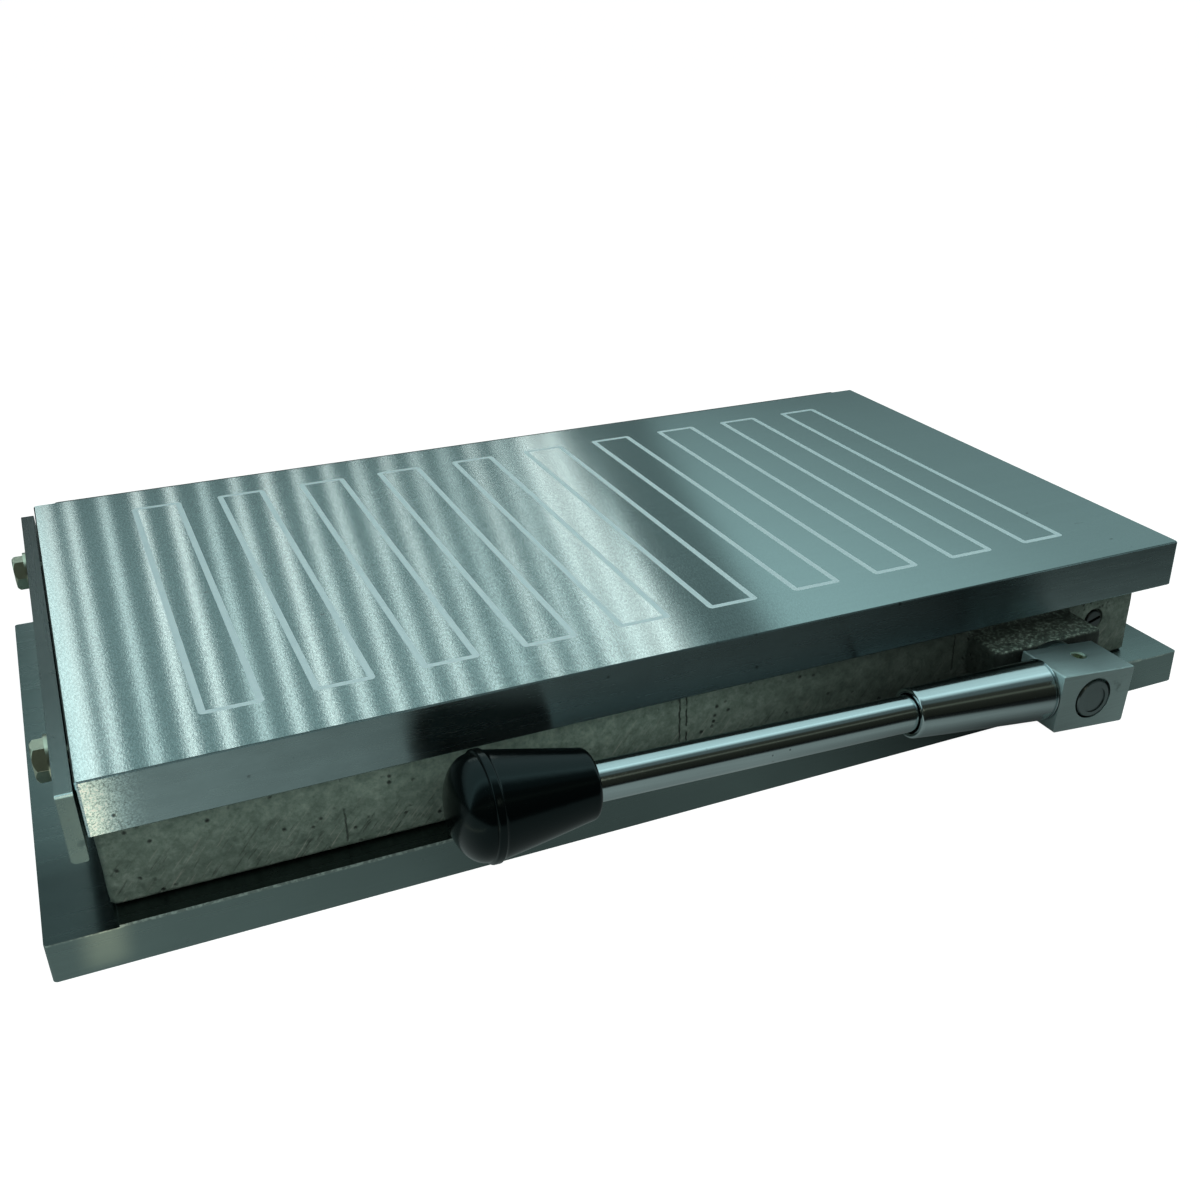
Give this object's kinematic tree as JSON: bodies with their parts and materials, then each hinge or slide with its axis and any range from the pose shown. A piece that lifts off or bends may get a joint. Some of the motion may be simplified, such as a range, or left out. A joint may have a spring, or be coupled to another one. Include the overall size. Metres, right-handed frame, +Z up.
{
  "type": "magnetic chuck",
  "caption": "Rectangular permanent magnetic chuck: ground pole-face plate on a cast body and flanged base, switched by a side lever with a knob, with adjustable end and back stop rails.",
  "frame": {"origin": "centre of the base underside (the bolting face)", "axes": "+X along the chuck's length to the right, +Y to the back, +Z up out of the work face; the lever is on the front (-Y) side near the right end and points to -X at rest"},
  "size_m": [0.328, 0.2133, 0.052],
  "materials": {
    "machined_base": "fine machined, dull",
    "rough_casting": "rough as cast with a thin pale coat",
    "ground_steel": "surface ground, fine grain along the length",
    "pole_steel": "surface ground",
    "white_metal_strip": "ground flush, satin",
    "milled_steel": "fine milled",
    "polished_steel": "polished",
    "stop_steel": "ground, dull",
    "zinc_plated": "bright zinc plate",
    "black_oxide": "black oxide",
    "hard_steel": "hardened and ground",
    "gloss_black": "glossy moulded",
    "bronze": "machined bronze",
    "cast_alloy": "machined casting",
    "magnet_grey": "sintered, matte",
    "seal_rubber": "matte",
    "felt": "matte"
  },
  "bodies": {
    "chuck": {"base_plate": "machined_base", "slide_rails": "bronze", "body_casting": "rough_casting", "limit_pin": "hard_steel", "dowel_pins": "hard_steel", "top_plate": "ground_steel", "pole_separators": "white_metal_strip", "pole_bars": "pole_steel", "assembly_screws": "black_oxide", "port_plug": "zinc_plated", "oil_wick": "felt", "shaft_bushing": "bronze", "end_stop_screws": "zinc_plated", "end_stop_washers": "zinc_plated", "back_stop_screws": "zinc_plated", "back_stop_washers": "zinc_plated"},
    "lever": {"drive_shaft": "polished_steel", "shaft_seal": "seal_rubber", "crank_pin": "hard_steel", "crank_roller": "bronze", "thrust_washer": "zinc_plated", "lever_hub": "milled_steel", "hub_set_screw": "black_oxide", "lever_sleeve": "polished_steel", "lever_rod": "polished_steel", "lever_knob": "gloss_black", "knob_insert": "bronze"},
    "magnet_pack": {"pack_frame": "cast_alloy", "pack_yoke": "pole_steel", "pack_poles": "pole_steel", "pack_magnets": "magnet_grey", "pack_screws": "hard_steel", "drive_block": "bronze"},
    "end_rail": {"end_stop": "stop_steel"},
    "back_rail": {"back_stop": "stop_steel"}
  },
  "joints": [
    {"name": "lever_turn", "type": "hinge", "parent": "chuck", "child": "lever", "pos_m": [0.1042, -0.107, 0.0216], "axis": [0, 1, 0], "range_deg": [0, 173.6]},
    {"name": "pack_slide", "type": "slide", "parent": "chuck", "child": "magnet_pack", "axis": [1, 0, 0], "range_m": [0, 0.0128]},
    {"name": "end_rail_lift", "type": "slide", "parent": "chuck", "child": "end_rail", "axis": [0, 0, 1], "range_m": [0, 0.005]},
    {"name": "back_rail_lift", "type": "slide", "parent": "chuck", "child": "back_rail", "axis": [0, 0, 1], "range_m": [0, 0.005]}
  ],
  "couplings": [
    {"joint": "pack_slide", "follows": "lever_turn", "m_per_rad": 0.004218}
  ]
}
